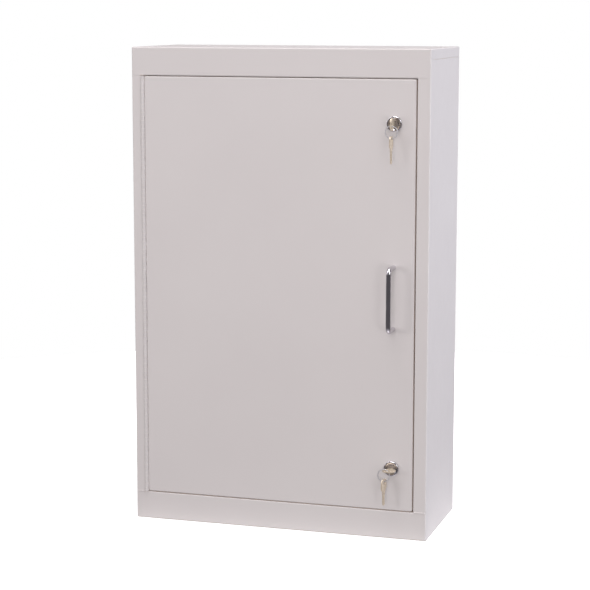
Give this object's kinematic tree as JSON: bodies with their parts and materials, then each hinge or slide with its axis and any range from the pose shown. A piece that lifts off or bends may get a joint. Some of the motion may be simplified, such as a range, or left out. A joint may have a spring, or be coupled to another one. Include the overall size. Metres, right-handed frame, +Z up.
{
  "type": "lockable medicine cabinet",
  "caption": "Tall shallow steel cabinet with an inset door on a continuous hinge, a wire pull, cam locks with keys and adjustable shelves inside.",
  "frame": {"origin": "middle of the underside, on the surface that the cabinet stands on", "axes": "+X to the cabinet's right as seen from its front, +Y to its back (the door faces -Y), +Z up"},
  "size_m": [0.4826, 0.2382, 0.762],
  "materials": {
    "painted_steel": "satin",
    "hinge_paint": "satin",
    "zinc_steel": "satin",
    "handle_chrome": "polished",
    "lock_chrome": "polished",
    "plug_chrome": "satin",
    "key_brass": "satin",
    "ring_steel": "polished",
    "bumper_rubber": "matte"
  },
  "bodies": {
    "cabinet": {"top_pan": "painted_steel", "bottom_pan": "painted_steel", "left_side_panel": "painted_steel", "right_side_panel": "painted_steel", "back_panel": "painted_steel", "left_front_standard": "painted_steel", "left_rear_standard": "painted_steel", "right_front_standard": "painted_steel", "right_rear_standard": "painted_steel", "upper_shelf": "painted_steel", "middle_shelf": "painted_steel", "lower_shelf": "painted_steel", "shelf_clips": "zinc_steel", "door_bumpers": "bumper_rubber", "hinge_frame_leaf": "hinge_paint", "hinge_pin": "hinge_paint"},
    "door": {"door_panel": "painted_steel", "door_stiffener": "painted_steel", "hinge_door_leaf": "hinge_paint", "pull_handle": "handle_chrome", "handle_screws": "zinc_steel", "upper_lock_body": "lock_chrome", "lower_lock_body": "lock_chrome", "upper_lock_nut": "zinc_steel", "lower_lock_nut": "zinc_steel"},
    "upper_lock": {"upper_lock_plug": "plug_chrome", "upper_lock_cam": "zinc_steel", "upper_cam_screw": "zinc_steel"},
    "lower_lock": {"lower_lock_plug": "plug_chrome", "lower_lock_cam": "zinc_steel", "lower_cam_screw": "zinc_steel"},
    "upper_key_body": {"upper_key": "key_brass"},
    "lower_key_body": {"lower_key": "key_brass"},
    "upper_ring_body": {"upper_key_ring": "ring_steel"},
    "lower_ring_body": {"lower_key_ring": "ring_steel"},
    "upper_spare_body": {"upper_spare_key": "key_brass"},
    "lower_spare_body": {"lower_spare_key": "key_brass"}
  },
  "joints": [
    {"name": "door_hinge", "type": "hinge", "parent": "cabinet", "child": "door", "pos_m": [-0.22337, -0.1022, 0.381], "axis": [0, 0, -1], "range_deg": [0, 175]},
    {"name": "upper_lock_turn", "type": "hinge", "parent": "door", "child": "upper_lock", "pos_m": [0.1859, -0.1016, 0.64895], "axis": [0, 1, 0], "range_deg": [0, 90]},
    {"name": "lower_lock_turn", "type": "hinge", "parent": "door", "child": "lower_lock", "pos_m": [0.1859, -0.1016, 0.11305], "axis": [0, -1, 0], "range_deg": [0, 90]},
    {"name": "upper_key_slide", "type": "slide", "parent": "upper_lock", "child": "upper_key_body", "axis": [0, -1, 0], "range_m": [0, 0.0235]},
    {"name": "lower_key_slide", "type": "slide", "parent": "lower_lock", "child": "lower_key_body", "axis": [0, -1, 0], "range_m": [0, 0.0235]},
    {"name": "upper_ring_swing", "type": "hinge", "parent": "upper_key_body", "child": "upper_ring_body", "pos_m": [0.18396, -0.1234, 0.64771], "axis": [0, 1, 0], "range_deg": [-45, 0]},
    {"name": "lower_ring_swing", "type": "hinge", "parent": "lower_key_body", "child": "lower_ring_body", "pos_m": [0.18466, -0.1234, 0.11499], "axis": [0, -1, 0], "range_deg": [-45, 0]},
    {"name": "upper_spare_swing", "type": "hinge", "parent": "upper_ring_body", "child": "upper_spare_body", "pos_m": [0.1859, -0.1234, 0.6375], "axis": [0, 1, 0], "range_deg": [-45, 0]},
    {"name": "lower_spare_swing", "type": "hinge", "parent": "lower_ring_body", "child": "lower_spare_body", "pos_m": [0.17881, -0.1234, 0.1064], "axis": [0, -1, 0], "range_deg": [-45, 0]}
  ],
  "couplings": [
    {"joint": "upper_ring_swing", "follows": "upper_lock_turn", "ratio": -0.5},
    {"joint": "lower_ring_swing", "follows": "lower_lock_turn", "ratio": -0.5},
    {"joint": "upper_spare_swing", "follows": "upper_lock_turn", "ratio": -0.5},
    {"joint": "lower_spare_swing", "follows": "lower_lock_turn", "ratio": -0.5}
  ]
}
